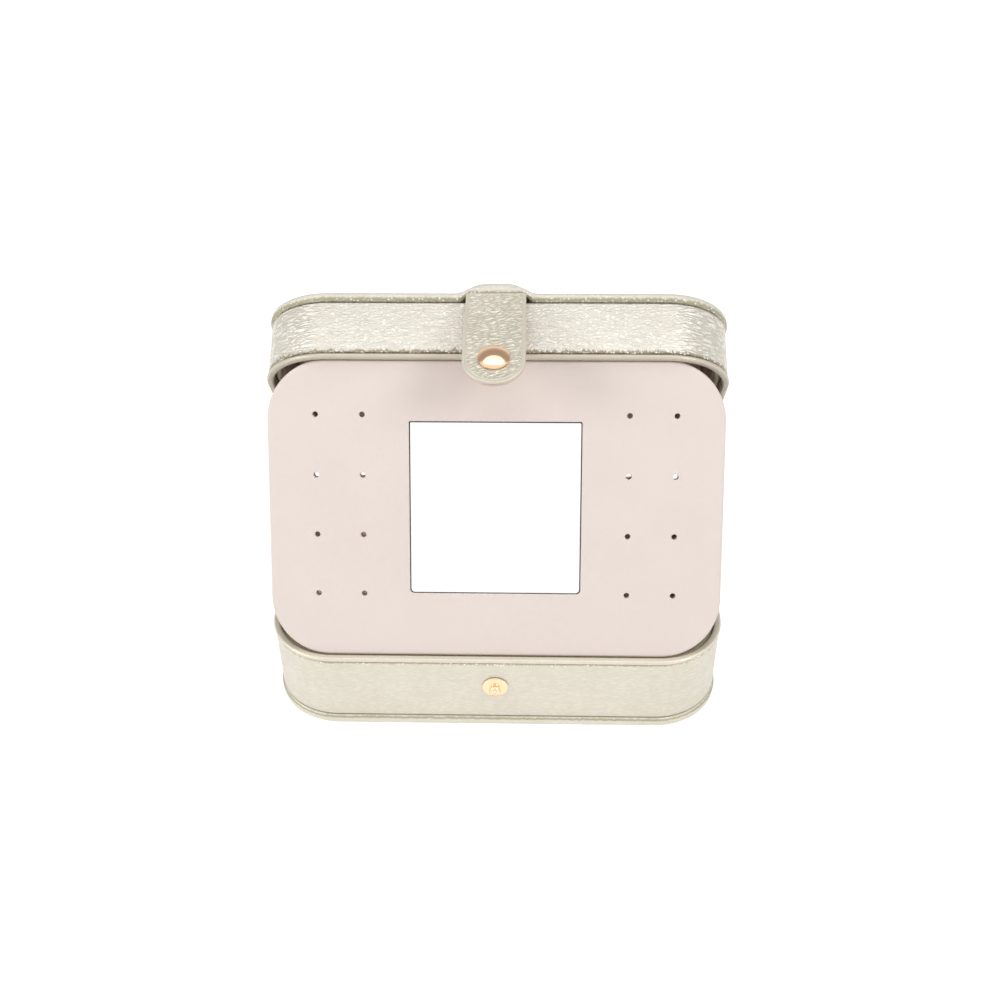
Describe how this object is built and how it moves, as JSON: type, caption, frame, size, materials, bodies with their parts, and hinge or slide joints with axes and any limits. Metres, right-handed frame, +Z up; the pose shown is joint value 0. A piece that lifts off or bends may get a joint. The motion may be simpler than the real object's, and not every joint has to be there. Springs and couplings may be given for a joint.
{
  "type": "travel jewelry box",
  "caption": "Open clamshell travel jewelry box in champagne leather, its lid propped by a blush panel with a mirror and earring holes, over ring rolls and compartments, with a snap strap.",
  "frame": {"origin": "centre of the base's flat underside, which stands on a table", "axes": "+X along the box's length to the viewer's right, -Y out of the front with the snap stud, +Z up"},
  "size_m": [0.1664, 0.1358, 0.1438],
  "materials": {
    "champagne_leather": "pebbled metallic leather, soft sheen",
    "champagne_strap": "pebbled metallic leather, soft sheen",
    "blush_leather": "fine-grained blush leather, satin",
    "blush_suede": "brushed microfibre, matte",
    "lining": "brushed microfibre lining, matte",
    "mirror": "silvered glass, polished",
    "greyboard": "bare board",
    "rose_gold": "polished rose gold plate",
    "steel": "bright"
  },
  "bodies": {
    "base": {"base_plate": "champagne_leather", "base_wall": "champagne_leather", "base_rim_binding": "champagne_leather", "base_liner": "lining", "base_floor_pad": "lining", "divider_main": "lining", "divider_cross": "lining", "divider_short": "lining", "ring_roll_1": "blush_suede", "ring_roll_2": "blush_suede", "ring_roll_3": "blush_suede", "ring_roll_4": "blush_suede", "ring_roll_5": "blush_suede", "ring_roll_6": "blush_suede", "ring_roll_7": "blush_suede", "snap_stud": "rose_gold", "stud_post": "steel", "hinge_strip_base": "champagne_strap"},
    "lid": {"lid_plate": "champagne_leather", "lid_wall": "champagne_leather", "lid_rim_binding": "champagne_leather", "lid_liner": "lining", "lid_ceiling_pad": "lining", "strap_tail": "champagne_strap", "hinge_strip_lid": "champagne_strap"},
    "panel": {"panel_board": "blush_leather", "panel_backing": "lining", "mirror_glass": "mirror", "mirror_pad": "greyboard"},
    "strap": {"strap_outer": "champagne_strap", "strap_backing": "blush_suede", "snap_cap": "rose_gold", "snap_socket": "rose_gold", "snap_spring": "steel"}
  },
  "joints": [
    {"name": "lid_hinge", "type": "hinge", "parent": "base", "child": "lid", "pos_m": [0, 0.05675, 0.03315], "axis": [-1, 0, 0], "range_deg": [0, 43]},
    {"name": "panel_fold", "type": "hinge", "parent": "base", "child": "panel", "pos_m": [0, -0.0514, 0.033], "axis": [1, 0, 0], "range_deg": [-61.7, 0]},
    {"name": "strap_flex", "type": "hinge", "parent": "lid", "child": "strap", "pos_m": [0, 0.01286, 0.14148], "axis": [-1, 0, 0], "range_deg": [-26, 70], "stiffness_Nm_per_rad": 0.03}
  ]
}
